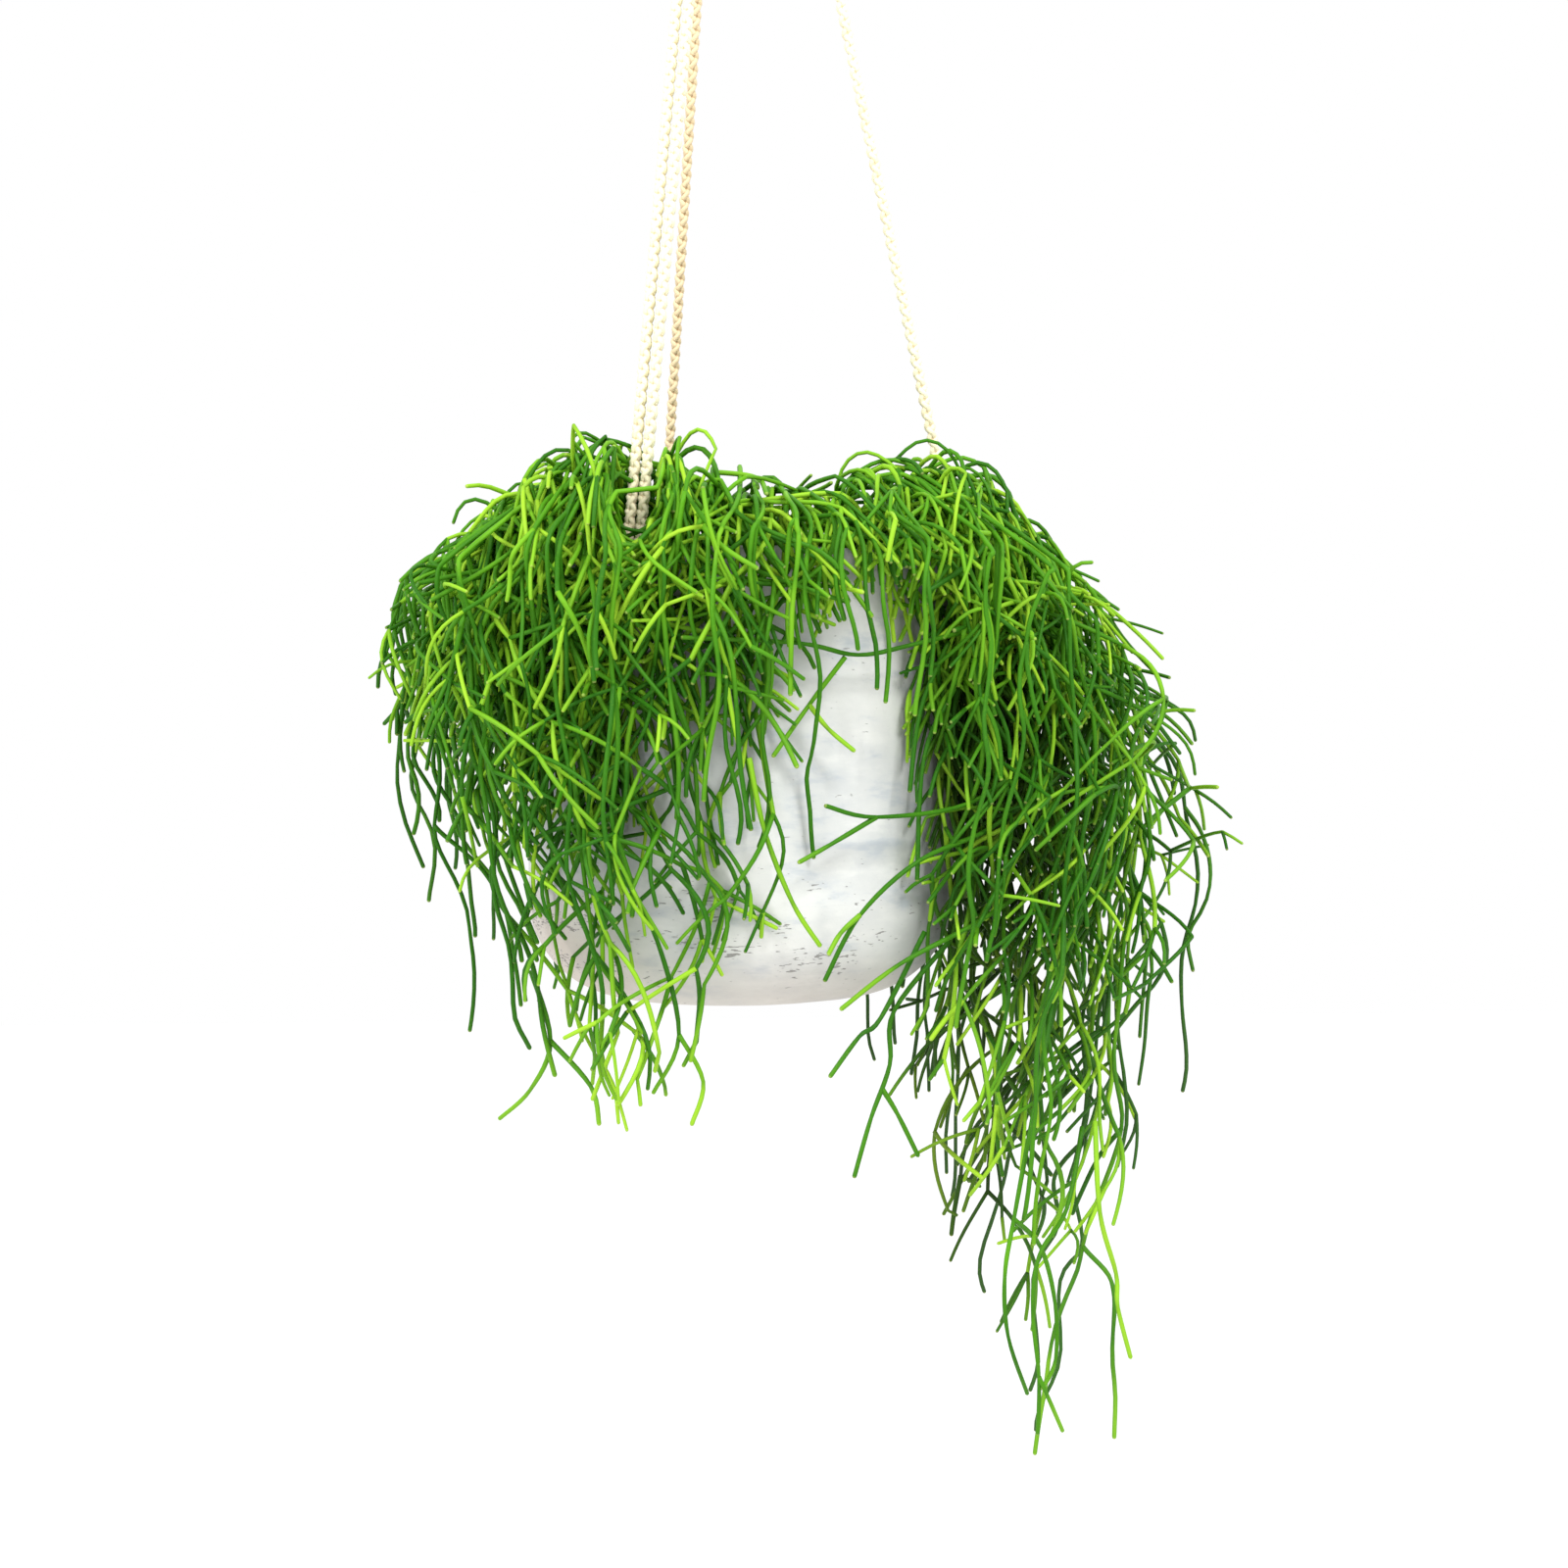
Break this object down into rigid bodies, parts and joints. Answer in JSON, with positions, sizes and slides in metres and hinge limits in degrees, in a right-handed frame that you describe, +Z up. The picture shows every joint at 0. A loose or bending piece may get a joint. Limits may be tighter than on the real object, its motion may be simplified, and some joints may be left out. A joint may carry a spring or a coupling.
{
  "type": "potted hanging rhipsalis",
  "caption": "Round hanging pot on rope strands under a loop, filled with soil and a trailing rhipsalis whose thin forked stems arch over the rim.",
  "frame": {"origin": "the point inside the top of the rope loop where a hook bears, on the pot's axis", "axes": "+Z up along the pot's axis, -Y towards the viewer of the front, +X to that viewer's right"},
  "size_m": [0.4117, 0.3272, 0.9663],
  "materials": {
    "clay": "matte",
    "soil": "matte",
    "rope": "matte",
    "stem": "satin"
  },
  "bodies": {
    "root": {"pot": "clay", "soil": "soil", "top_loop": "rope", "rope_front_a": "rope", "rope_front_b": "rope", "rope_right": "rope", "rope_back": "rope", "knot_front": "rope", "knot_right": "rope", "knot_back": "rope", "spray_01": "stem", "spray_02": "stem", "spray_03": "stem", "spray_04": "stem", "spray_05": "stem", "spray_06": "stem", "spray_07": "stem", "spray_08": "stem", "spray_09": "stem", "spray_10": "stem", "spray_11": "stem", "spray_12": "stem", "spray_13": "stem", "spray_14": "stem", "spray_15": "stem", "spray_16": "stem", "spray_17": "stem", "spray_18": "stem", "spray_19": "stem", "spray_20": "stem", "spray_21": "stem", "crown_spray_1": "stem", "crown_spray_2": "stem", "crown_spray_3": "stem"}
  },
  "joints": []
}
